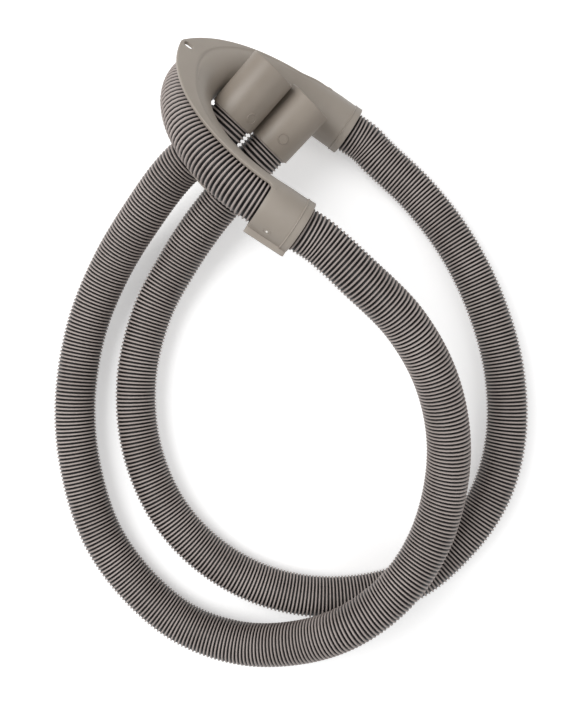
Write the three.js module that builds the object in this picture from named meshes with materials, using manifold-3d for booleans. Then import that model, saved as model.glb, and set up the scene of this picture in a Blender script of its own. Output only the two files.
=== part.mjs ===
// Drain hose for a washing machine: a corrugated hose laid in almost two turns, a smooth sleeve
// on each end, and a moulded U-bend guide that hooks it over a sink or into a standpipe.
// Millimetres, +Z up. The hose lies on the plane z = 0 and the origin is under the middle of the
// whole part, with the turns' long way along +Y.

import * as THREE from 'three';
import * as BufferGeometryUtils from 'three/addons/utils/BufferGeometryUtils.js';
import Module from 'manifold-3d';

const wasm = await Module();
wasm.setup();

// Hose
const hoseRadius = 14; // over the crests of the corrugation
const hoseSides = 12;
const strandSteps = 23; // along each free strand
const socketSteps = 2; // along the straight end in each sleeve
const straightLead = 14; // how far the hose keeps straight past each collar and sleeve

// Clearances
const rubGap = 0.3; // between the hose and what holds it
const pastCut = 1; // how far a cutting shape runs past what it cuts
const weldDistance = 1e-4; // points nearer than this are one

// Middle of the laid part before it is moved over the origin
const layMiddle = [-1.4, -9.3];

// End sleeves
const sleeveRadius = 15.2;
const sleeveLength = 38.5;
const sleeveBoreRadius = 11; // takes a 22 mm spigot
const socketDepth = 12; // how far the hose goes into the sleeve
const sleeveEdge = 0.8; // rounding of the outer edges
const mouthChamfer = 1.2; // lead-in at the mouth
const sleeveSides = 40;
const edgeSteps = 3;

// Where each sleeve lies: the centre of its hose end, and which way its mouth points
const sleeveA = { centre: [-37.7, 145.7, 66.2], heading: 45.6, rise: 12 };
const sleeveB = { centre: [-15.5, 132.5, 49], heading: 44.1, rise: 12.7 };

// U-bend guide. In its own frame +X runs from the bend to the leg ends, the legs are at -Y and +Y
// and +Z is square to the plane of the bend.
const legSpacing = 112; // between the hose centres of the two legs
const archDepth = 70.4; // from the leg ends' straight part to the hose centre at the bend
const legLength = 30; // straight part of each leg
const channelWall = 1.8;
const rimReach = 0.2; // upper wall past the hose centre, outward
const lowerReach = 5.6; // lower wall past the hose centre
const earReach = 16.6; // further reach of the upper wall at the tip of its ear
const earTaper = 2; // how quickly the ear runs out along the bend
const earTurn = 5.6; // the ear's tip is this far round the bend from its middle
const filletRadius = 3; // rounding between the rim and the collar
const filletSteps = 5;
const bendMiddle = [-62.2, 164, 74.6]; // hose centre at the middle of the bend
const guideHeading = -32;
const guideDrop = 10.7; // the legs slope down to their ends
const guideLean = -40.2; // lifts the first leg over the other
const channelSides = 32;
const archSteps = 26;
const legSteps = 2;

// Collars of the guide, snapped over the hose
const collarLength = 27;
const collarWall = 2.1;
const beadLength = 5;
const beadHeight = 0.5;
const collarEdge = 0.4; // bevel of the collar's ends
const slitWidth = 2.4;
const slitAngle = -45; // from straight outward towards the underside
const lipHeight = 3.2;
const lipThickness = 1.8;
const collarSides = 48;

// Hole for a tie in the ear
const holeLength = 5;
const holeWidth = 3.6;
const holeMargin = 2.6; // material between the hole and the tip
const holeSteps = 6; // along each round end

const channelInner = hoseRadius + rubGap;
const channelOuter = channelInner + channelWall;
const collarOuter = channelInner + collarWall;
const halfSpacing = legSpacing / 2;
const collarStart = legLength - collarLength;
const guideSteps = archSteps + 2 * legSteps;

const hosePlastic = new THREE.MeshStandardMaterial({ color: 0x8d8480, roughness: 0.55, metalness: 0 });
const sleevePlastic = new THREE.MeshStandardMaterial({ color: 0x948e84, roughness: 0.5, metalness: 0 });
const guidePlastic = new THREE.MeshStandardMaterial({ color: 0x968f87, roughness: 0.48, metalness: 0 });

const radians = THREE.MathUtils.degToRad;

// A mesh as a solid that can be joined and cut
function toSolid(geometry) {
  const bare = geometry.clone();
  bare.deleteAttribute('normal');
  bare.deleteAttribute('uv');
  const merged = BufferGeometryUtils.mergeVertices(bare, weldDistance);
  return new wasm.Manifold(new wasm.Mesh({
    numProp: 3,
    vertProperties: Float32Array.from(merged.attributes.position.array),
    triVerts: Uint32Array.from(merged.index.array),
  }));
}

// The mesh of a finished solid
function toGeometry(solid) {
  const mesh = solid.getMesh();
  const geometry = new THREE.BufferGeometry();
  geometry.setAttribute('position', new THREE.BufferAttribute(Float32Array.from(mesh.vertProperties), 3));
  geometry.setIndex(new THREE.BufferAttribute(Uint32Array.from(mesh.triVerts), 1));
  geometry.computeVertexNormals();
  return geometry;
}

// The line of the hose inside the guide, in the guide's frame, from the first leg's end round the
// bend to the second leg's end. extra lengthens both straight legs.
class GuideLine extends THREE.Curve {
  constructor(extra = 0) {
    super();
    this.leg = legLength + extra;
  }

  getPoint(t) {
    const at = t * guideSteps;
    if (at < legSteps) {
      return new THREE.Vector3(this.leg * (1 - at / legSteps), -halfSpacing, 0);
    }
    if (at > guideSteps - legSteps) {
      return new THREE.Vector3(this.leg * (1 - (guideSteps - at) / legSteps), halfSpacing, 0);
    }
    return bendPoint(-Math.PI / 2 + Math.PI * (at - legSteps) / archSteps, 0);
  }

  getPointAt(t) {
    return this.getPoint(t);
  }

  getTangentAt(t) {
    return this.getTangent(t);
  }
}

// A point beside the bend: angle runs from -90 to +90 degrees along the half ellipse, and offset
// is measured outward from the hose centre.
function bendPoint(angle, offset) {
  const x = -archDepth * Math.cos(angle);
  const y = halfSpacing * Math.sin(angle);
  const outward = new THREE.Vector2(-Math.cos(angle) / archDepth, Math.sin(angle) / halfSpacing).normalize();
  return new THREE.Vector3(x + offset * outward.x, y + offset * outward.y, 0);
}

// The points beside the whole guide at an offset from the hose centre, which may change along the bend
function besideGuide(offsetAt, legPoints) {
  const points = [];
  for (const [x, offset] of legPoints) {
    points.push(new THREE.Vector2(x, -halfSpacing - offset));
  }
  for (let i = 0; i <= archSteps; i += 1) {
    const angle = -Math.PI / 2 + Math.PI * i / archSteps;
    const point = bendPoint(angle, offsetAt(angle));
    points.push(new THREE.Vector2(point.x, point.y));
  }
  for (const [x, offset] of [...legPoints].reverse()) {
    points.push(new THREE.Vector2(x, halfSpacing + offset));
  }
  return points;
}

function sweepAlong(line, radius, sides, steps) {
  const section = new THREE.Shape();
  for (let i = 0; i < sides; i += 1) {
    const angle = 2 * Math.PI * i / sides;
    const x = radius * Math.cos(angle);
    const y = radius * Math.sin(angle);
    if (i === 0) {
      section.moveTo(x, y);
    } else {
      section.lineTo(x, y);
    }
  }
  section.closePath();
  return new THREE.ExtrudeGeometry(section, { steps, extrudePath: line, bevelEnabled: false });
}

// A flat band between two outlines of the guide, from one height to another over its plane
function band(outerPoints, innerPoints, bottom, top) {
  const shape = new THREE.Shape([...outerPoints, ...[...innerPoints].reverse()]);
  const geometry = new THREE.ExtrudeGeometry(shape, { depth: top - bottom, bevelEnabled: false });
  geometry.translate(0, 0, bottom);
  return toSolid(geometry);
}

function earOffset(angle) {
  const nearTip = Math.max(0, 1 - Math.abs(angle - radians(earTurn)) / (Math.PI / 2));
  return rimReach + earReach * nearTip ** earTaper;
}

// A rim along a leg, from its end to the bend: it runs up to the collar in a quarter round
function rimAlongLeg(reach) {
  const insideCollar = collarStart + pastCut;
  const points = [
    [legLength, reach],
    [insideCollar, reach],
    [insideCollar, reach + filletRadius],
  ];
  for (let i = 0; i < filletSteps; i += 1) {
    const angle = Math.PI / 2 * (1 - i / filletSteps);
    points.push([
      collarStart - filletRadius + filletRadius * Math.sin(angle),
      reach + filletRadius * (1 - Math.cos(angle)),
    ]);
  }
  return points;
}

// The channel that carries the hose round the bend: half round on the inside of the bend, with
// straight side walls that stop a little past the hose centre. The upper one runs out into an ear.
function makeChannel() {
  const level = (offset, legEnd) => besideGuide(() => offset, [[legEnd, offset]]);
  const inside = level(-channelOuter - pastCut, legLength);
  const above = channelOuter + pastCut;
  const outline = band(besideGuide(earOffset, rimAlongLeg(rimReach)), inside, 0, above)
    .add(band(besideGuide(() => lowerReach, rimAlongLeg(lowerReach)), inside, -above, 0));
  const wallEnd = legLength + pastCut;
  const beyondEar = rimReach + earReach + pastCut;
  const walls = band(level(beyondEar, wallEnd), level(-pastCut, wallEnd), -channelOuter, channelOuter);
  const web = toSolid(sweepAlong(new GuideLine(pastCut), channelOuter, channelSides, guideSteps));
  const cutEnd = wallEnd + pastCut;
  const cut = band(
    level(beyondEar + pastCut, cutEnd),
    level(-pastCut, cutEnd),
    -channelInner,
    channelInner,
  );
  return web.add(walls).intersect(outline).subtract(cut);
}

// A collar before it is bored: a short cylinder with a bead at its open end
function makeCollar(side) {
  const beadRadius = collarOuter + beadHeight;
  const profile = [
    [0, collarStart],
    [collarOuter - collarEdge, collarStart],
    [collarOuter, collarStart + collarEdge],
    [collarOuter, legLength - beadLength - beadHeight],
    [beadRadius, legLength - beadLength],
    [beadRadius, legLength - collarEdge],
    [beadRadius - collarEdge, legLength],
    [0, legLength],
  ];
  const geometry = new THREE.LatheGeometry(profile.map(([r, y]) => new THREE.Vector2(r, y)), collarSides);
  geometry.rotateZ(-Math.PI / 2);
  geometry.translate(0, side * halfSpacing, 0);
  return toSolid(geometry);
}

// A box along a leg that stands out from its centre line in the direction of the slit
function standingBox(side, from, to, thickness, shift, start, end) {
  const geometry = new THREE.BoxGeometry(end - start, to - from, thickness);
  geometry.translate((start + end) / 2, (from + to) / 2, shift);
  const slope = radians(slitAngle);
  geometry.rotateX(Math.atan2(Math.sin(slope), side * Math.cos(slope)));
  geometry.translate(0, side * halfSpacing, 0);
  return toSolid(geometry);
}

// The tie hole's shape, through the ear and pointing at its tip
function makeTieHole() {
  const slot = new THREE.Shape();
  const straight = (holeLength - holeWidth) / 2;
  const radius = holeWidth / 2;
  slot.absarc(straight, 0, radius, -Math.PI / 2, Math.PI / 2, false);
  slot.absarc(-straight, 0, radius, Math.PI / 2, 3 * Math.PI / 2, false);
  const geometry = new THREE.ExtrudeGeometry(
    slot,
    { depth: channelWall + 2 * pastCut, bevelEnabled: false, curveSegments: holeSteps },
  );
  const angle = radians(earTurn);
  const holeMiddle = bendPoint(angle, rimReach + earReach - holeMargin - holeLength / 2);
  const outward = bendPoint(angle, 1).sub(bendPoint(angle, 0));
  geometry.rotateZ(Math.atan2(outward.y, outward.x));
  geometry.translate(holeMiddle.x, holeMiddle.y, channelInner - pastCut);
  return toSolid(geometry);
}

function makeGuide() {
  const lipTop = collarOuter + lipHeight;
  const lipShift = (slitWidth + lipThickness) / 2;
  let guide = makeChannel();
  for (const side of [-1, 1]) {
    guide = guide.add(makeCollar(side));
    for (const shift of [-lipShift, lipShift]) {
      guide = guide.add(standingBox(side, channelInner, lipTop, lipThickness, shift, collarStart, legLength));
    }
  }
  const slitStart = collarStart - pastCut;
  const slitEnd = legLength + pastCut;
  for (const side of [-1, 1]) {
    guide = guide.subtract(
      standingBox(side, channelInner - pastCut, lipTop + pastCut, slitWidth, 0, slitStart, slitEnd),
    );
  }
  const passage = sweepAlong(new GuideLine(pastCut), channelInner, channelSides, guideSteps);
  guide = guide.subtract(toSolid(passage)).subtract(makeTieHole());
  const mesh = new THREE.Mesh(toGeometry(guide), guidePlastic);
  mesh.name = 'hose_guide';
  return mesh;
}

// An end sleeve, turned about +Y: the hose goes in at y = 0 and the mouth is at the other end
function makeSleeve(name) {
  const socketRadius = hoseRadius + rubGap;
  const shoulder = socketDepth + rubGap;
  const profile = [[sleeveBoreRadius, shoulder], [socketRadius, shoulder], [socketRadius, 0]];
  for (const [y, from] of [[sleeveEdge, -Math.PI / 2], [sleeveLength - sleeveEdge, 0]]) {
    for (let i = 0; i <= edgeSteps; i += 1) {
      const angle = from + Math.PI / 2 * i / edgeSteps;
      profile.push([
        sleeveRadius - sleeveEdge + sleeveEdge * Math.cos(angle),
        y + sleeveEdge * Math.sin(angle),
      ]);
    }
  }
  profile.push([sleeveBoreRadius + mouthChamfer, sleeveLength]);
  profile.push([sleeveBoreRadius, sleeveLength - mouthChamfer]);
  profile.push([sleeveBoreRadius, shoulder]);
  const points = profile.map(([r, y]) => new THREE.Vector2(r, y));
  const mesh = new THREE.Mesh(new THREE.LatheGeometry(points, sleeveSides), sleevePlastic);
  mesh.name = name;
  return mesh;
}

// The way a sleeve's mouth points
function mouthDirection({ heading, rise }) {
  const level = Math.cos(radians(rise));
  return new THREE.Vector3(
    level * Math.cos(radians(heading)),
    level * Math.sin(radians(heading)),
    Math.sin(radians(rise)),
  );
}

function placeSleeve(mesh, sleeve) {
  mesh.position.set(...sleeve.centre);
  mesh.quaternion.setFromUnitVectors(new THREE.Vector3(0, 1, 0), mouthDirection(sleeve));
  return mesh;
}

// The free hose, chosen by hand along the turns. The first strand runs from sleeve A round the
// outside of the turns, passes over the second one and climbs to the guide. The second runs from
// the guide's low collar under the first and on to sleeve B.
const firstStrand = [
  [-75, 117, 50], [-98, 93, 37], [-125, 57, 22], [-144, 15, 15], [-152, -34, 14], [-149, -78, 14],
  [-134, -127, 14], [-108, -164, 14], [-75, -190, 16], [-35, -201, 22], [5, -196, 32], [38, -181, 42],
  [67, -158, 45], [87, -129, 46], [98, -93, 50], [99, -55, 58], [89, -17, 67], [68, 17, 77], [39, 44.5, 85.5],
];
const secondStrand = [
  [60, 135, 16], [88, 109, 14], [114, 75, 14], [135, 33, 14], [148, -14, 14], [149, -62, 14],
  [138, -101, 14], [115, -134, 14], [80, -162, 14], [30, -172, 14], [-17, -165, 14], [-58, -143, 14],
  [-88, -110, 14], [-106, -66, 14], [-109, -18, 14], [-98, 27, 14.5], [-80, 60, 18], [-61, 86, 26],
  [-37.5, 111, 37.5],
];

// The whole route as stretches, each a part of a curve with its own number of even steps
class HoseRoute extends THREE.Curve {
  constructor(stretches) {
    super();
    this.stretches = stretches;
    this.steps = stretches.reduce((sum, stretch) => sum + stretch.steps, 0);
  }

  getPoint(t) {
    let left = t * this.steps;
    for (const { curve, from, to, steps, place } of this.stretches) {
      if (left <= steps) {
        return curve.getPointAt(from + (to - from) * left / steps).applyMatrix4(place);
      }
      left -= steps;
    }
    const end = this.stretches.at(-1);
    return end.curve.getPointAt(end.to).applyMatrix4(end.place);
  }

  getPointAt(t) {
    return this.getPoint(t);
  }

  getTangentAt(t) {
    return this.getTangent(t);
  }
}

function makeHose(guidePlace) {
  const stay = new THREE.Matrix4();
  const atLeg = (x, side) => new THREE.Vector3(x, side * halfSpacing, 0).applyMatrix4(guidePlace);
  const inSleeve = (sleeve, depth) => new THREE.Vector3(...sleeve.centre)
    .addScaledVector(mouthDirection(sleeve), depth);
  const chosen = (points) => points.map((point) => new THREE.Vector3(...point));
  const first = new THREE.CatmullRomCurve3([
    inSleeve(sleeveA, socketDepth), inSleeve(sleeveA, 0), inSleeve(sleeveA, -straightLead),
    ...chosen(firstStrand), atLeg(legLength + straightLead, -1), atLeg(legLength, -1),
  ]);
  const second = new THREE.CatmullRomCurve3([
    atLeg(legLength, 1), atLeg(legLength + straightLead, 1), ...chosen(secondStrand),
    inSleeve(sleeveB, -straightLead), inSleeve(sleeveB, 0), inSleeve(sleeveB, socketDepth),
  ]);
  const straight = socketDepth + straightLead;
  const firstBend = straight / first.getLength();
  const lastBend = 1 - straight / second.getLength();
  const route = new HoseRoute([
    { curve: first, from: 0, to: firstBend, steps: socketSteps, place: stay },
    { curve: first, from: firstBend, to: 1, steps: strandSteps, place: stay },
    { curve: new GuideLine(), from: 0, to: 1, steps: guideSteps, place: guidePlace },
    { curve: second, from: 0, to: lastBend, steps: strandSteps, place: stay },
    { curve: second, from: lastBend, to: 1, steps: socketSteps, place: stay },
  ]);
  const mesh = new THREE.Mesh(sweepAlong(route, hoseRadius, hoseSides, route.steps), hosePlastic);
  mesh.name = 'drain_hose';
  return mesh;
}

const drainHose = new THREE.Group();

const guideGroup = new THREE.Group();
guideGroup.rotation.set(radians(guideLean), radians(guideDrop), radians(guideHeading), 'ZYX');
guideGroup.position.set(archDepth, 0, 0).applyEuler(guideGroup.rotation)
  .add(new THREE.Vector3(...bendMiddle));
guideGroup.add(makeGuide());
guideGroup.updateMatrix();
drainHose.add(guideGroup);

drainHose.add(makeHose(guideGroup.matrix));
drainHose.add(placeSleeve(makeSleeve('end_sleeve_a'), sleeveA));
drainHose.add(placeSleeve(makeSleeve('end_sleeve_b'), sleeveB));
drainHose.position.set(-layMiddle[0], -layMiddle[1], 0);

export default drainHose;
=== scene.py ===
"""Washing machine drain hose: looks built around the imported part. Lengths below are millimetres in
the part's frame where nothing else is said, and MM turns them into metres."""

import math

import bmesh
import bpy
import numpy as np
from mathutils import Matrix, Vector


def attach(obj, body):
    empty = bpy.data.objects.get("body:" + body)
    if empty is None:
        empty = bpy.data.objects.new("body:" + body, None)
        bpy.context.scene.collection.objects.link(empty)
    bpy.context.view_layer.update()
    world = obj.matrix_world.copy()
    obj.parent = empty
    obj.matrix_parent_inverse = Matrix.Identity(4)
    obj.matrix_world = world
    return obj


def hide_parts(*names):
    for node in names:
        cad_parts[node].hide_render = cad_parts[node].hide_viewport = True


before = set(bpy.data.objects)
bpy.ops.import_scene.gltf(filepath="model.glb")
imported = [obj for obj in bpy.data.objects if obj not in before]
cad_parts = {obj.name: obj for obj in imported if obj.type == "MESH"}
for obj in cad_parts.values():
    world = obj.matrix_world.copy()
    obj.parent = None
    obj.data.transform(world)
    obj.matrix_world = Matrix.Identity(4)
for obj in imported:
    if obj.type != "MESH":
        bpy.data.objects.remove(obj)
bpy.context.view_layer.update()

MM = 0.001
UP = np.array([0.0, 0.0, 1.0])

# Where the laid part sits over the origin, as in the part's source
LAY_MIDDLE = np.array([-1.4, -9.3, 0.0])

# Hose
HOSE_RADIUS = 14.0
HOSE_BORE = 10.0
HOSE_SIDES = 22
RING_PITCH = 2.5
BORE_STEP = 12.0  # from section to section along the bore
STRAIGHT_LEAD = 14.0  # how far the hose keeps straight past each collar and sleeve
SOCKET_DEPTH = 12.0
# One ring of the corrugation: where each station lies along the pitch, how far it is below the crest,
# and how much of the painted groove shade it takes
RING_PROFILE = [
    (0.0, 0.0, 0.0), (0.15, 0.12, 0.0), (0.29, 1.05, 1.0), (0.71, 1.05, 1.0), (0.85, 0.12, 0.0),
]

# Sleeves: the centre of the hose end, and which way the mouth points
SLEEVE_RADIUS = 15.2
SLEEVE_LENGTH = 38.5
SLEEVE_BORE = 11.0
SLEEVE_SIDES = 72
# Rounding of each corner of the outline: two at the shoulder, the socket's mouth, the two outer edges
# and the bore's mouth
SLEEVE_EDGES = [0.2, 0.2, 0.3, 0.6, 0.7, 1.4]
SLEEVE_A = {"centre": (-37.7, 145.7, 66.2), "heading": 45.6, "rise": 12}
SLEEVE_B = {"centre": (-15.5, 132.5, 49), "heading": 44.1, "rise": 12.7}

# Plain rings on the sleeves: how far from the hose end, and degrees round from the top
MARK_A = {"depth": 7.75, "angle": 55.0}
MARK_B = {"depth": 10.25, "angle": 26.0}
MARK_RADIUS, MARK_WIRE = 3.1, 0.42

# Guide, in its own frame: +X from the bend to the leg ends, +Z square to the plane of the bend
LEG_HALF_SPACING = 56.0
ARCH_DEPTH = 70.4
LEG_LENGTH = 30.0
BEND_MIDDLE = (-62.2, 164, 74.6)
GUIDE_HEADING, GUIDE_DROP, GUIDE_LEAN = -32.0, 10.7, -40.2  # degrees about Z, Y and X
RUB_GAP = 0.3
CHANNEL_INNER = HOSE_RADIUS + RUB_GAP
CHANNEL_WALL = 1.8
CHANNEL_OUTER = CHANNEL_INNER + CHANNEL_WALL
CHANNEL_STEPS = 110  # round the bend
WALL_CURL = 5  # the walls bend round the hose over the last fifth of each quarter turn
RIM_REACH = 0.2  # least reach of the upper wall, outward of the hose centre
RIM_EDGE = 0.55
RIM_STEPS = 5
RIM_ROOT = 2.8  # where the walls leave the half round, inward of the hose centre
BAND_LIFT = 0.36  # how far the flat band along the rim stands over the rest of the wall
BAND_STEP = 0.25  # half the width of the step up to the band
BAND_LEAST = 1.6  # least width of the band
CREASE_NEAR, CREASE_FAR = -2.0, 3.0  # where the band begins on each side of the bend
CREASE_TURN = math.radians(20)  # half the turn over which it goes from one to the other
FAR_LIFT = 4.4  # how far the rim rises towards the far collar
FAR_TURN = math.radians(74)  # where the rise begins
LOWER_REACH = 4.4  # reach of the lower wall, outward of the hose centre
LOWER_END = 0.2  # its reach at the near collar
LOWER_TURN, LOWER_FADE = math.radians(66), math.radians(12)  # where and over what turn it shrinks
EAR_REACH = 16.6  # what the ear's tip adds to the upper wall
EAR_TAPER = 2.0  # the power by which the ear falls off to both sides
EAR_TURN = math.radians(5.6)  # where the tip is
FILLET = 3.0  # rounds the corner between the rim and a collar
FILLET_STEPS = 9
COLLAR_START = 3.0
COLLAR_OVERLAP = 2.5  # how far the channel runs into the collar
COLLAR_WALL = 2.1
COLLAR_OUTER = CHANNEL_INNER + COLLAR_WALL
COLLAR_STEPS = 84
COLLAR_ROWS = 8  # from the collar's start to its bead
BEAD_LENGTH, BEAD_HEIGHT = 5.0, 0.5
# The bead begins with a ridge: run past the bead's start, and share of the bead's height
BEAD_RIDGE = [(-0.35, 0.0), (-0.1, 1.2), (0.1, 1.5), (0.4, 1.5), (0.7, 0.7)]
BEAD_MIDDLE = (2.5, 0.8)  # distance from the mouth, and share of the bead's height
# Bevels of the collar's ends: distance from the end, and inset
START_BEVEL = [(0.0, 0.25), (0.08, 0.08), (0.25, 0.0)]
MOUTH_BEVEL = [(0.4, 0.0), (0.12, 0.12), (0.0, 0.4)]
SLIT_WIDTH, SLIT_ANGLE = 2.4, -45.0  # the slit points this many degrees up from straight outward
LIP_HEIGHT, LIP_THICKNESS = 3.2, 1.8
LIP_EDGE = 0.5
LIP_STEPS = 4
LIP_ROOT = 0.8  # where the lip's side turns in to the collar
HOLE_LENGTH, HOLE_WIDTH, HOLE_MARGIN = 6.4, 4.4, 2.2  # the margin is what the ear's tip keeps
HOLE_STEPS = 13
PAST_CUT = 2  # how far the cutting bar runs past what it cuts
SHARP_ANGLE = math.radians(38)

# Gate mark on the near collar: a pip in a plain ring
GATE_RUN, GATE_ANGLE = 14.0, -6.0
GATE_PIP_RADIUS, GATE_PIP_HEIGHT, GATE_PIP_SINK = 0.8, 0.7, 0.3
GATE_RING_RADIUS, GATE_RING_WIRE = 2.3, 0.2

# The hose's free route, given point by point: from sleeve A to the guide's near leg, and from its far
# leg to sleeve B
FIRST_STRAND = [
    (-75, 117, 50), (-98, 93, 37), (-125, 57, 22), (-144, 15, 15), (-152, -34, 14), (-149, -78, 14),
    (-134, -127, 14), (-108, -164, 14), (-75, -190, 16), (-35, -201, 22), (5, -196, 32), (38, -181, 42),
    (67, -158, 45), (87, -129, 46), (98, -93, 50), (99, -55, 58), (89, -17, 67), (68, 17, 77),
    (39, 44.5, 85.5),
]
SECOND_STRAND = [
    (60, 135, 16), (88, 109, 14), (114, 75, 14), (135, 33, 14), (148, -14, 14), (149, -62, 14),
    (138, -101, 14), (115, -134, 14), (80, -162, 14), (30, -172, 14), (-17, -165, 14), (-58, -143, 14),
    (-88, -110, 14), (-106, -66, 14), (-109, -18, 14), (-98, 27, 14.5), (-80, 60, 18), (-61, 86, 26),
    (-37.5, 111, 37.5),
]

# Camera: straight above the laid part
CAMERA_HEIGHT = 490.0
FOCAL_PIXELS = 680.0
IMAGE_LONG_SIDE = 702.0
SENSOR = 36.0
CLIP_START = 10.0

# Colours as they look on the screen: the lighter and the darker side of the clouding
HOSE_LIGHT, HOSE_DARK = (184, 173, 168), (166, 155, 150)
# Painted shade: near black put into the hose's grooves and bore, where the corrugation shades itself
GROOVE_SHADE_COLOUR = (4, 3, 3)
SLEEVE_LIGHT, SLEEVE_DARK = (149, 139, 128), (140, 130, 119)
GUIDE_LIGHT, GUIDE_DARK = (163, 154, 144), (154, 145, 135)
# Painted highlight: the gate pip is coloured near white to stand for the glint on it
PIP_HIGHLIGHT_LIGHT, PIP_HIGHLIGHT_DARK = (236, 232, 226), (226, 222, 216)
CLOUD_SCALE, GRAIN_SCALE = 28.0, 1400.0
GRAIN_DEPTH = 0.0002  # in metres
HOSE_SPECULAR = 0.3

# Light and floor, with places and sizes in metres
WORLD_STRENGTH = 0.40
KEY_PLACE, KEY_SIZE, KEY_POWER = (-0.68, 0.3, 1.1), 0.9, 11.0
FILL_PLACE, FILL_SIZE, FILL_POWER = (0.8, -0.4, 1.2), 1.4, 5.0
FLOOR_SIZE = 6
FLOOR_DROP = 0.0002
FLOOR_GREY = 0.93
FLOOR_ROUGHNESS = 0.9
FLOOR_LIFT = 0.36  # what the paper gives of its own, where it is seen straight or in a reflection


def make_camera():
    data = bpy.data.cameras.new("camera")
    data.sensor_width = SENSOR
    data.lens = SENSOR * FOCAL_PIXELS / IMAGE_LONG_SIDE
    data.clip_start = CLIP_START * MM
    camera = bpy.data.objects.new("camera", data)
    bpy.context.collection.objects.link(camera)
    camera.location = Vector((-LAY_MIDDLE[0], -LAY_MIDDLE[1], CAMERA_HEIGHT)) * MM
    bpy.context.scene.camera = camera


def band_faces(here, there, sides):
    """Faces between two rings of points, whose first points are here and there."""
    faces = []
    for k in range(sides):
        after = (k + 1) % sides
        faces.append((here + k, there + k, there + after, here + after))
    return faces


def loop_faces(count, sides):
    """Faces over a row of rings of points, with the last ring joined to the first."""
    faces = []
    for i in range(count):
        faces += band_faces(i * sides, (i + 1) % count * sides, sides)
    return faces


def make_mesh(name, points, faces):
    """A closed smooth-shaded mesh from points in millimetres."""
    mesh = bpy.data.meshes.new(name)
    mesh.from_pydata((np.asarray(points) * MM).tolist(), [], faces)
    mesh.polygons.foreach_set("use_smooth", [True] * len(mesh.polygons))
    piece = bpy.data.objects.new(name, mesh)
    bpy.context.collection.objects.link(piece)
    return piece


# Route of the hose


def catmull_rom(points, per_span=24):
    """Centripetal Catmull-Rom curve through the points, as a fine line."""
    inner = np.array(points, float)
    padded = np.vstack([2 * inner[0] - inner[1], inner, 2 * inner[-1] - inner[-2]])
    line = []
    for i in range(1, len(padded) - 2):
        before, start, end, after = padded[i - 1 : i + 3]
        span_in = np.linalg.norm(start - before) ** 0.5
        span = np.linalg.norm(end - start) ** 0.5
        span_out = np.linalg.norm(after - end) ** 0.5
        rise_in = (start - before) / span_in
        rise = (end - start) / span
        rise_out = (after - end) / span_out
        slope_start = rise_in - (end - before) / (span_in + span) + rise
        slope_end = rise - (after - start) / (span + span_out) + rise_out
        for t in np.arange(per_span) / per_span:
            line.append(
                (2 * t**3 - 3 * t**2 + 1) * start
                + (t**3 - 2 * t**2 + t) * slope_start * span
                + (3 * t**2 - 2 * t**3) * end
                + (t**3 - t**2) * slope_end * span
            )
    line.append(inner[-1])
    return np.array(line)


def guide_matrix():
    turn = (
        Matrix.Rotation(math.radians(GUIDE_HEADING), 3, "Z")
        @ Matrix.Rotation(math.radians(GUIDE_DROP), 3, "Y")
        @ Matrix.Rotation(math.radians(GUIDE_LEAN), 3, "X")
    )
    return np.array(turn)


GUIDE_TURN = guide_matrix()
GUIDE_CENTRE = np.array(BEND_MIDDLE) + GUIDE_TURN[:, 0] * ARCH_DEPTH - LAY_MIDDLE


def from_guide(points):
    """Points of the guide's own frame, in the part's frame."""
    return np.asarray(points, float) @ GUIDE_TURN.T + GUIDE_CENTRE


def mouth_direction(sleeve):
    """The way in which a sleeve's mouth points."""
    heading, rise = math.radians(sleeve["heading"]), math.radians(sleeve["rise"])
    level = math.cos(rise)
    return np.array([level * math.cos(heading), level * math.sin(heading), math.sin(rise)])


def in_sleeve(sleeve, depth):
    """The point on a sleeve's axis at a depth from its hose end."""
    return np.array(sleeve["centre"]) - LAY_MIDDLE + mouth_direction(sleeve) * depth


def at_leg(x, side):
    """The hose centre at a place on one leg of the guide."""
    return from_guide([x, side * LEG_HALF_SPACING, 0])


def bend_centre(angle):
    """The hose centre in the guide's bend, in the guide's own frame."""
    return np.array([-ARCH_DEPTH * math.cos(angle), LEG_HALF_SPACING * math.sin(angle), 0.0])


def bend_line(steps=120):
    angles = np.linspace(-math.pi / 2, math.pi / 2, steps + 1)
    return from_guide([bend_centre(angle) for angle in angles])


def hose_line():
    """The whole centre line of the hose, from sleeve A round the guide to sleeve B."""
    first = [in_sleeve(SLEEVE_A, depth) for depth in (SOCKET_DEPTH, 0, -STRAIGHT_LEAD)]
    first += [np.array(point) - LAY_MIDDLE for point in FIRST_STRAND]
    first += [at_leg(LEG_LENGTH + STRAIGHT_LEAD, -1), at_leg(LEG_LENGTH, -1)]
    second = [at_leg(LEG_LENGTH, 1), at_leg(LEG_LENGTH + STRAIGHT_LEAD, 1)]
    second += [np.array(point) - LAY_MIDDLE for point in SECOND_STRAND]
    second += [in_sleeve(SLEEVE_B, depth) for depth in (-STRAIGHT_LEAD, 0, SOCKET_DEPTH)]
    return np.vstack([catmull_rom(first), bend_line(), catmull_rom(second)])


class Route:
    """A fine line that can be asked for places and square frames by its length."""

    def __init__(self, line):
        self.line = line
        steps = np.linalg.norm(np.diff(line, axis=0), axis=1)
        self.run = np.concatenate([[0.0], np.cumsum(steps)])
        self.length = self.run[-1]

    def at(self, run):
        return np.stack([np.interp(run, self.run, self.line[:, axis]) for axis in range(3)], -1)

    def frames(self, runs, reach=1.5):
        """Place, side and up at each length, turned as little as possible along the way."""
        runs = np.asarray(runs)
        ahead = self.at(np.minimum(runs + reach, self.length))
        behind = self.at(np.maximum(runs - reach, 0.0))
        tangents = ahead - behind
        tangents /= np.linalg.norm(tangents, axis=1)[:, None]
        side = np.cross(tangents[0], UP)
        sides = []
        for tangent in tangents:
            side = side - tangent * np.dot(side, tangent)
            side = side / np.linalg.norm(side)
            sides.append(side)
        sides = np.array(sides)
        return self.at(runs), sides, np.cross(sides, tangents)


# Pieces


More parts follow.
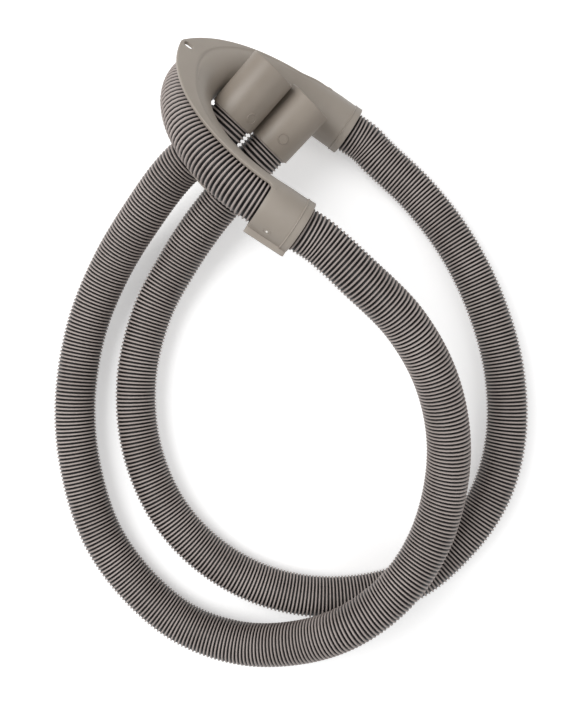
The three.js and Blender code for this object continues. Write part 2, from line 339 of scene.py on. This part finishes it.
def hose_sections(length):
    """Run, radius and painted shade of each section: along the corrugated outside, then back along the
    bore.
    """
    rings = round(length / RING_PITCH)
    pitch = length / rings
    outer = [
        ((ring + phase) * pitch, HOSE_RADIUS - drop, groove_shade)
        for ring in range(rings)
        for phase, drop, groove_shade in RING_PROFILE
    ]
    # The hose ends on the flank of a crest
    end_drop, end_groove_shade = RING_PROFILE[1][1:]
    outer.append((length, HOSE_RADIUS - end_drop, end_groove_shade))
    bore_steps = round(length / BORE_STEP)
    # The bore takes the full painted shade
    inner = [(length * (1 - i / bore_steps), HOSE_BORE, 1.0) for i in range(bore_steps + 1)]
    return outer, inner


def make_hose(route):
    """The hose, and the centres of the sections along its outside."""
    outer, inner = hose_sections(route.length)
    runs, radii, groove_shade = np.array(outer + inner).T
    places, sides, ups = route.frames(runs)
    angles = 2 * math.pi * np.arange(HOSE_SIDES) / HOSE_SIDES
    points = (
        places[:, None]
        + radii[:, None, None] * np.cos(angles)[None, :, None] * sides[:, None]
        + radii[:, None, None] * np.sin(angles)[None, :, None] * ups[:, None]
    ).reshape(-1, 3)
    hose = make_mesh("corrugated_hose", points, loop_faces(len(runs), HOSE_SIDES))
    groove = hose.data.attributes.new("groove", "FLOAT", "POINT")
    groove.data.foreach_set("value", np.repeat(groove_shade, HOSE_SIDES))
    return hose, places[: len(outer)]


def revolve(profile, sides):
    """Points and faces of a closed (radius, height) profile turned about +Z."""
    angles = 2 * math.pi * np.arange(sides) / sides
    points = [
        (radius * math.cos(angle), radius * math.sin(angle), height)
        for radius, height in profile
        for angle in angles
    ]
    return np.array(points), loop_faces(len(profile), sides)


def rounded(corners, radii, steps=4):
    """The corners of a closed outline, each one rounded by its own radius."""
    outline = []
    count = len(corners)
    for i, (corner, radius) in enumerate(zip(corners, radii)):
        corner = np.array(corner, float)
        back = np.array(corners[i - 1], float) - corner
        ahead = np.array(corners[(i + 1) % count], float) - corner
        start = corner + back / np.linalg.norm(back) * radius
        end = corner + ahead / np.linalg.norm(ahead) * radius
        for t in np.linspace(0, 1, steps + 1):
            outline.append(tuple((1 - t) ** 2 * start + 2 * t * (1 - t) * corner + t**2 * end))
    return outline


def sleeve_frame(sleeve):
    """Side, up and axis of a sleeve, with up as near to +Z as it can be."""
    axis = mouth_direction(sleeve)
    side = np.cross(axis, UP)
    side /= np.linalg.norm(side)
    return side, np.cross(side, axis), axis


def make_sleeve(name, sleeve):
    shoulder = SOCKET_DEPTH + RUB_GAP
    corners = [
        (SLEEVE_BORE, shoulder), (HOSE_RADIUS + RUB_GAP, shoulder), (HOSE_RADIUS + RUB_GAP, 0),
        (SLEEVE_RADIUS, 0), (SLEEVE_RADIUS, SLEEVE_LENGTH), (SLEEVE_BORE, SLEEVE_LENGTH),
    ]
    outline = rounded(corners, SLEEVE_EDGES)
    points, faces = revolve(outline[::-1], SLEEVE_SIDES)
    side, up, axis = sleeve_frame(sleeve)
    placed = points @ np.array([side, up, axis]) + in_sleeve(sleeve, 0)
    return make_mesh(name, placed, faces)


def on_sleeve(sleeve, depth, angle):
    """Maps (across, along, lift) round a spot on a sleeve, angle degrees round from its top."""
    side, up, axis = sleeve_frame(sleeve)

    def place(across, along, lift):
        turn = math.radians(angle) + across / SLEEVE_RADIUS
        outward = side * math.sin(turn) + up * math.cos(turn)
        return in_sleeve(sleeve, depth + along) + outward * (SLEEVE_RADIUS + lift)

    return place


def on_collar(x, side, angle):
    """Maps (across, along, lift) round a spot on a collar, angle degrees up from straight outward."""

    def place(across, along, lift):
        turn = math.radians(angle) + across / COLLAR_OUTER
        reach = COLLAR_OUTER + lift
        outward = side * (LEG_HALF_SPACING + reach * math.cos(turn))
        return from_guide([x + along, outward, reach * math.sin(turn)])

    return place


def make_ring(name, place, radius, wire):
    """A plain raised ring moulded on a round surface."""
    steps, sides = 40, 8
    points = []
    for i in range(steps):
        around = 2 * math.pi * i / steps
        for k in range(sides):
            lift = 2 * math.pi * k / sides
            reach = radius + wire * math.cos(lift)
            across, along = reach * math.cos(around), reach * math.sin(around)
            points.append(place(across, along, wire * math.sin(lift)))
    return make_mesh(name, points, loop_faces(steps, sides))


def make_pip(name, place, radius, height, sink):
    """A low dome where the moulding was filled, with its foot sunk in the wall."""
    steps, rings = 20, 4
    points = [place(0, 0, height)]
    for i in range(1, rings + 1):
        slope = math.pi / 2 * i / rings
        reach, rise = radius * math.sin(slope), height * math.cos(slope)
        for k in range(steps):
            around = 2 * math.pi * k / steps
            points.append(place(reach * math.cos(around), reach * math.sin(around), rise))
    points.append(place(0, 0, -sink))
    foot, last = len(points) - 1 - steps, len(points) - 1
    faces = []
    for i in range(rings - 1):
        faces += band_faces(1 + i * steps, 1 + (i + 1) * steps, steps)
    for k in range(steps):
        after = (k + 1) % steps
        faces.append((0, 1 + k, 1 + after))
        faces.append((foot + after, foot + k, last))
    return make_mesh(name, points, faces)


# Guide


def bend_frame(angle):
    """The hose centre in the bend and the way outward, in the guide's own frame."""
    outward = np.array([-math.cos(angle) / ARCH_DEPTH, math.sin(angle) / LEG_HALF_SPACING, 0.0])
    return bend_centre(angle), outward / np.linalg.norm(outward)


def ear_reach(angle):
    """How far the upper wall reaches outward of the hose centre, with the ear."""
    near_tip = max(0.0, 1 - abs(angle - EAR_TURN) / (math.pi / 2))
    return RIM_REACH + EAR_REACH * near_tip**EAR_TAPER


def smooth(value):
    """An even passage from 0 to 1 as value goes from 0 to 1."""
    value = min(1.0, max(0.0, value))
    return value * value * (3 - 2 * value)


def crease_at(angle, reach):
    """Where the upper wall's flat band begins, outward of the hose centre."""
    crease = CREASE_NEAR + (CREASE_FAR - CREASE_NEAR) * smooth(angle / CREASE_TURN / 2 + 0.5)
    return min(crease, reach - BAND_LEAST)


def channel_section(upper, lower, crease, curl):
    """The channel's closed outline as (outward, height): a half round on the inside of the bend and
    two walls that reach outward, straight when curl is 0 and round the hose when it is 1. From
    crease on, the upper wall stands a little prouder."""
    root = RIM_ROOT / CHANNEL_OUTER

    def on_wall(run, radius, sign):
        angle = run / CHANNEL_OUTER
        straight = np.array([run, radius])
        round_hose = np.array([radius * math.sin(angle), radius * math.cos(angle)])
        outward, height = straight * (1 - curl) + round_hose * curl
        return outward, sign * height

    def half_round(radius, steps=28):
        angles = np.linspace(root, math.pi - root, steps + 1)
        return [(-radius * math.sin(angle), radius * math.cos(angle)) for angle in angles]

    def wall(reach, radius, sign, steps=10):
        runs = np.linspace(-root * radius, reach - RIM_EDGE, steps + 1)[1:-1]
        return [on_wall(run, radius, sign) for run in runs]

    def band_wall(below_steps=3, steps=8):
        below = np.linspace(-root * CHANNEL_OUTER, crease - BAND_STEP, below_steps + 1)[1:]
        points = [on_wall(run, CHANNEL_OUTER, 1) for run in below]
        points.append(on_wall(crease, CHANNEL_OUTER + BAND_LIFT / 2, 1))
        for run in np.linspace(crease + BAND_STEP, upper - RIM_EDGE, steps)[:-1]:
            points.append(on_wall(run, CHANNEL_OUTER + BAND_LIFT, 1))
        return points

    def rim(reach, sign, lift=0.0):
        quarter = np.linspace(0, math.pi / 2, RIM_STEPS)
        end = reach - RIM_EDGE
        top = CHANNEL_OUTER + lift - RIM_EDGE
        bottom = CHANNEL_INNER + RIM_EDGE
        outer = [(end + RIM_EDGE * math.sin(a), top + RIM_EDGE * math.cos(a)) for a in quarter]
        inner = [(end + RIM_EDGE * math.cos(a), bottom - RIM_EDGE * math.sin(a)) for a in quarter]
        return [on_wall(run, radius, sign) for run, radius in outer + inner]

    outline = half_round(CHANNEL_OUTER)
    outline += wall(lower, CHANNEL_OUTER, -1)
    outline += rim(lower, -1)
    outline += wall(lower, CHANNEL_INNER, -1)[::-1]
    outline += half_round(CHANNEL_INNER)[::-1]
    outline += wall(upper, CHANNEL_INNER, 1)
    outline += rim(upper, 1, BAND_LIFT)[::-1]
    outline += band_wall()[::-1]
    return outline


def bridge(sections):
    """Points and faces of a closed skin over a row of sections with the same number of points."""
    size = len(sections[0])
    faces = []
    for i in range(len(sections) - 1):
        faces += band_faces(i * size, (i + 1) * size, size)
    faces.append(tuple(range(size - 1, -1, -1)))
    faces.append(tuple((len(sections) - 1) * size + k for k in range(size)))
    return np.vstack(sections), faces


def leg_station(x, side, lift):
    """Centre, way outward, angle and rim lift at a place on a leg."""
    centre = np.array([x, side * LEG_HALF_SPACING, 0.0])
    return centre, np.array([0.0, side, 0.0]), side * math.pi / 2, lift


def channel_stations():
    """Centre, way outward, angle and rim lift along the channel, from collar to collar. The lift
    rounds the corner between the rim and the collar."""
    leg_runs = [(COLLAR_START + COLLAR_OVERLAP, FILLET)]
    for angle in np.linspace(math.pi / 2, 0, FILLET_STEPS):
        run = COLLAR_START - FILLET + FILLET * math.sin(angle)
        leg_runs.append((run, FILLET * (1 - math.cos(angle))))
    stations = [leg_station(x, -1, lift) for x, lift in leg_runs]
    for i in range(1, CHANNEL_STEPS):
        angle = -math.pi / 2 + math.pi * i / CHANNEL_STEPS
        stations.append((*bend_frame(angle), angle, 0.0))
    return stations + [leg_station(x, 1, lift) for x, lift in leg_runs[::-1]]


def make_channel():
    sections = []
    for centre, outward, angle, lift in channel_stations():
        curl = min(1.0, max(0.0, abs(angle) / (math.pi / 2) * WALL_CURL - (WALL_CURL - 1)))
        far = FAR_LIFT * smooth((angle - FAR_TURN) / (math.pi / 2 - FAR_TURN))
        reach = ear_reach(angle) + far + lift
        near = smooth((-angle - LOWER_TURN) / LOWER_FADE)
        lower = (LOWER_REACH + lift) * (1 - near) + LOWER_END * near
        outline = channel_section(reach, lower, crease_at(angle, reach), curl)
        sections.append(np.array([centre + outward * o + UP * h for o, h in outline]))
    points, faces = bridge(sections)
    return make_mesh("hose_guide_moulding", from_guide(points), faces)


def collar_section():
    """The collar's closed outline as (outward, height), with its two lips, and how much of the bead
    each point takes."""
    slit, lip = SLIT_WIDTH / 2, SLIT_WIDTH / 2 + LIP_THICKNESS
    edge = LIP_EDGE
    top = COLLAR_OUTER + LIP_HEIGHT - edge
    start = math.asin(lip / COLLAR_OUTER)
    inner_start = math.asin(slit / CHANNEL_INNER)
    outline = [(math.sqrt(CHANNEL_INNER**2 - slit**2), slit, 0.0), (COLLAR_OUTER, slit, 0.0)]
    quarter = np.linspace(0, math.pi / 2, LIP_STEPS)
    for a in quarter:
        outline.append((top + edge * math.sin(a), slit + edge - edge * math.cos(a), 0.0))
    for a in quarter:
        outline.append((top + edge * math.cos(a), lip - edge + edge * math.sin(a), 0.0))
    outline.append((COLLAR_OUTER + LIP_ROOT, lip, 0.0))
    turns = np.linspace(start, 2 * math.pi - start, COLLAR_STEPS)
    for turn in turns:
        outline.append((COLLAR_OUTER * math.cos(turn), COLLAR_OUTER * math.sin(turn), 1.0))
    mirrored = [(along, -across, bead) for along, across, bead in outline[: -len(turns)]]
    outline += mirrored[::-1]
    for turn in np.linspace(2 * math.pi - inner_start, inner_start, COLLAR_STEPS)[1:-1]:
        outline.append((CHANNEL_INNER * math.cos(turn), CHANNEL_INNER * math.sin(turn), 0.0))
    slope = math.radians(SLIT_ANGLE)
    placed = []
    for along, across, bead in outline:
        outward = along * math.cos(slope) - across * math.sin(slope)
        height = along * math.sin(slope) + across * math.cos(slope)
        placed.append((outward, height, bead))
    return np.array(placed)


def collar_rows():
    """Run along the leg, inset and share of the bead's height for each row of the collar. It starts
    flush with the channel and swells to its own thickness."""
    flush = (CHANNEL_OUTER - COLLAR_OUTER) / BEAD_HEIGHT
    bead_start = LEG_LENGTH - BEAD_LENGTH
    rows = [(COLLAR_START + run, inset, flush) for run, inset in START_BEVEL]
    for i in range(1, COLLAR_ROWS):
        run = COLLAR_START + (bead_start - COLLAR_START) * i / COLLAR_ROWS
        rows.append((run, 0, flush * max(0.0, 1 - 2 * i / COLLAR_ROWS)))
    rows += [(bead_start + run, 0, share) for run, share in BEAD_RIDGE]
    rows.append((LEG_LENGTH - BEAD_MIDDLE[0], 0, BEAD_MIDDLE[1]))
    rows += [(LEG_LENGTH - run, inset, 1) for run, inset in MOUTH_BEVEL]
    return rows


def make_collar(name, side):
    outline = collar_section()
    flat = outline[:, :2]
    along = np.roll(flat, -1, 0) - np.roll(flat, 1, 0)
    normals = np.stack([along[:, 1], -along[:, 0]], 1)
    normals /= np.linalg.norm(normals, axis=1)[:, None]
    radial = flat / np.linalg.norm(flat, axis=1)[:, None]
    sections = []
    for x, inset, bead in collar_rows():
        shape = flat - normals * inset + radial * (outline[:, 2] * bead * BEAD_HEIGHT)[:, None]
        sections.append(np.array([(x, side * (LEG_HALF_SPACING + o), h) for o, h in shape]))
    if side > 0:
        sections = sections[::-1]
    points, faces = bridge(sections)
    return make_mesh(name, from_guide(points), faces)


def make_hole_cutter():
    """A slot-shaped bar through the ear, only used to cut the tie hole."""
    straight, radius = (HOLE_LENGTH - HOLE_WIDTH) / 2, HOLE_WIDTH / 2
    centre, outward = bend_frame(EAR_TURN)
    across = np.array([-outward[1], outward[0], 0.0])
    middle = centre + outward * (RIM_REACH + EAR_REACH - HOLE_MARGIN - HOLE_LENGTH / 2)
    outline = []
    for end in (1, -1):
        for a in np.linspace(-math.pi / 2, math.pi / 2, HOLE_STEPS):
            along = end * (straight + radius * math.cos(a))
            outline.append(middle + outward * along + across * end * radius * math.sin(a))
    heights = (CHANNEL_INNER - PAST_CUT, CHANNEL_OUTER + PAST_CUT)
    sections = [np.array(outline) + UP * height for height in heights]
    points, faces = bridge(sections)
    return make_mesh("tie_hole_cutter", from_guide(points), faces)


def fix_normals(piece):
    """Turns every face of a closed mesh outward."""
    shape = bmesh.new()
    shape.from_mesh(piece.data)
    bmesh.ops.recalc_face_normals(shape, faces=shape.faces[:])
    shape.to_mesh(piece.data)
    shape.free()


def boolean(piece, other, operation):
    """Joins other to piece or cuts it out of it, and removes other."""
    step = piece.modifiers.new("step", "BOOLEAN")
    step.operation = operation
    step.solver = "EXACT"
    step.object = other
    evaluated = piece.evaluated_get(bpy.context.evaluated_depsgraph_get())
    mesh = bpy.data.meshes.new_from_object(evaluated)
    piece.modifiers.remove(step)
    piece.data = mesh
    bpy.data.objects.remove(other)


def make_guide():
    guide = make_channel()
    tools = [(make_collar("collar_near", -1), "UNION"), (make_collar("collar_far", 1), "UNION")]
    tools.append((make_hole_cutter(), "DIFFERENCE"))
    fix_normals(guide)
    for other, operation in tools:
        fix_normals(other)
        boolean(guide, other, operation)
    guide.data.polygons.foreach_set("use_smooth", [True] * len(guide.data.polygons))
    guide.data.set_sharp_from_angle(angle=SHARP_ANGLE)
    return guide


# Materials


def new_material(name):
    material = bpy.data.materials.new(name)
    material.use_nodes = True
    nodes, links = material.node_tree.nodes, material.node_tree.links
    return material, nodes, links, nodes["Principled BSDF"]


def noise(nodes, scale, detail=3.0, roughness=0.5):
    node = nodes.new("ShaderNodeTexNoise")
    node.inputs["Scale"].default_value = scale
    node.inputs["Detail"].default_value = detail
    node.inputs["Roughness"].default_value = roughness
    return node


def ramp(nodes, links, source, low, high, from_min=0.35, from_max=0.65):
    """Colour or value between low and high as source goes from from_min to from_max."""
    node = nodes.new("ShaderNodeMapRange")
    node.inputs["From Min"].default_value = from_min
    node.inputs["From Max"].default_value = from_max
    node.inputs["To Min"].default_value = low
    node.inputs["To Max"].default_value = high
    links.new(source, node.inputs["Value"])
    return node.outputs["Result"]


def mix_colours(nodes, links, factor, first, second):
    node = nodes.new("ShaderNodeMix")
    node.data_type = "RGBA"
    links.new(factor, node.inputs["Factor"])
    for socket, value in ((node.inputs["A"], first), (node.inputs["B"], second)):
        if isinstance(value, tuple):
            socket.default_value = (*value, 1.0)
        else:
            links.new(value, socket)
    return node.outputs["Result"]


def linear(colour):
    """A colour given as it looks on the screen, 0 to 255, as linear light."""
    return tuple(
        (value / 255 / 12.92) if value <= 10 else ((value / 255 + 0.055) / 1.055) ** 2.4
        for value in colour
    )


def plastic(name, light, dark, grain=0.05, roughness=(0.42, 0.56)):
    """Moulded plastic: clouded colour, fine grain and uneven gloss."""
    material, nodes, links, shader = new_material(name)
    place = nodes.new("ShaderNodeTexCoord").outputs["Object"]
    cloud, fine = noise(nodes, CLOUD_SCALE), noise(nodes, GRAIN_SCALE, detail=2.0)
    links.new(place, cloud.inputs["Vector"])
    links.new(place, fine.inputs["Vector"])
    factor = ramp(nodes, links, cloud.outputs["Fac"], 0.0, 1.0)
    colour = mix_colours(nodes, links, factor, linear(dark), linear(light))
    links.new(colour, shader.inputs["Base Color"])
    links.new(ramp(nodes, links, cloud.outputs["Fac"], *roughness), shader.inputs["Roughness"])
    bump = nodes.new("ShaderNodeBump")
    bump.inputs["Strength"].default_value = grain
    bump.inputs["Distance"].default_value = GRAIN_DEPTH
    links.new(fine.outputs["Fac"], bump.inputs["Height"])
    links.new(bump.outputs["Normal"], shader.inputs["Normal"])
    return material, nodes, links, shader, colour


def hose_plastic():
    """The hose's own plastic, with shade painted nearly black into the grooves and the bore."""
    material, nodes, links, shader, colour = plastic(
        "hose_plastic", HOSE_LIGHT, HOSE_DARK, grain=0.1, roughness=(0.45, 0.6)
    )
    # Painted shade: the groove attribute mixes the colour to near black in the grooves and the bore
    groove = nodes.new("ShaderNodeAttribute")
    groove.attribute_name = "groove"
    groove_shaded_colour = mix_colours(nodes, links, groove.outputs["Fac"], colour, linear(GROOVE_SHADE_COLOUR))
    links.new(groove_shaded_colour, shader.inputs["Base Color"])
    shader.inputs["Specular IOR Level"].default_value = HOSE_SPECULAR
    return material


def paint(piece, material):
    piece.data.materials.clear()
    piece.data.materials.append(material)


# Surroundings


def make_stage():
    bpy.ops.mesh.primitive_plane_add(size=FLOOR_SIZE, location=(0, 0, -FLOOR_DROP))
    floor = bpy.context.object
    floor.name = "floor"
    material, nodes, links, shader = new_material("floor_paper")
    shader.inputs["Base Color"].default_value = (FLOOR_GREY, FLOOR_GREY, FLOOR_GREY, 1)
    shader.inputs["Roughness"].default_value = FLOOR_ROUGHNESS
    shader.inputs["Emission Color"].default_value = (1, 1, 1, 1)
    path = nodes.new("ShaderNodeLightPath").outputs
    seen = path["Is Camera Ray"]
    for kind in ("Is Glossy Ray", "Is Transmission Ray"):
        either = nodes.new("ShaderNodeMath")
        either.operation = "MAXIMUM"
        links.new(seen, either.inputs[0])
        links.new(path[kind], either.inputs[1])
        seen = either.outputs["Value"]
    lift = ramp(nodes, links, seen, 0.0, FLOOR_LIFT, 0.0, 1.0)
    links.new(lift, shader.inputs["Emission Strength"])
    floor.data.materials.append(material)


def make_light(name, location, size, energy):
    """A round lamp that points at the origin."""
    data = bpy.data.lights.new(name, "AREA")
    data.shape = "DISK"
    data.size = size
    data.energy = energy
    light = bpy.data.objects.new(name, data)
    bpy.context.collection.objects.link(light)
    light.location = location
    light.rotation_euler = (-Vector(location)).to_track_quat("-Z", "Y").to_euler()


def make_world():
    world = bpy.data.worlds.new("studio")
    bpy.context.scene.world = world
    world.use_nodes = True
    background = world.node_tree.nodes["Background"]
    background.inputs["Color"].default_value = (1, 1, 1, 1)
    background.inputs["Strength"].default_value = WORLD_STRENGTH
    bpy.context.scene.view_settings.view_transform = "Standard"


# Making

make_camera()
route = Route(hose_line())
hose, centres = make_hose(route)
sleeve_a = make_sleeve("sleeve_moulding_a", SLEEVE_A)
sleeve_b = make_sleeve("sleeve_moulding_b", SLEEVE_B)
ring_a = make_ring("sleeve_mark_a", on_sleeve(SLEEVE_A, **MARK_A), MARK_RADIUS, MARK_WIRE)
ring_b = make_ring("sleeve_mark_b", on_sleeve(SLEEVE_B, **MARK_B), MARK_RADIUS, MARK_WIRE)
guide = make_guide()
gate = on_collar(GATE_RUN, -1, GATE_ANGLE)
guide_pip = make_pip("guide_gate_pip", gate, GATE_PIP_RADIUS, GATE_PIP_HEIGHT, GATE_PIP_SINK)
guide_ring = make_ring("guide_gate_ring", gate, GATE_RING_RADIUS, GATE_RING_WIRE)
small_pieces = (ring_a, ring_b, guide_pip, guide_ring)

for piece in (hose, sleeve_a, sleeve_b, *small_pieces):
    fix_normals(piece)

sleeve_material = plastic("sleeve_plastic", SLEEVE_LIGHT, SLEEVE_DARK)[0]
guide_material = plastic("guide_plastic", GUIDE_LIGHT, GUIDE_DARK)[0]
paint(hose, hose_plastic())
# Painted highlight: a near-white material for the gate pip
pip_highlight_material = plastic("gate_pip_painted_highlight", PIP_HIGHLIGHT_LIGHT, PIP_HIGHLIGHT_DARK)[0]
for piece in (guide, guide_ring):
    paint(piece, guide_material)
paint(guide_pip, pip_highlight_material)
for piece in (sleeve_a, sleeve_b, ring_a, ring_b):
    paint(piece, sleeve_material)

for piece in (hose, sleeve_a, sleeve_b, guide, *small_pieces):
    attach(piece, "root")
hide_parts("drain_hose")
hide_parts("end_sleeve_a")
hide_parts("end_sleeve_b")
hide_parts("hose_guide")

make_stage()
make_light("key", KEY_PLACE, KEY_SIZE, KEY_POWER)
make_light("fill", FILL_PLACE, FILL_SIZE, FILL_POWER)
make_world()
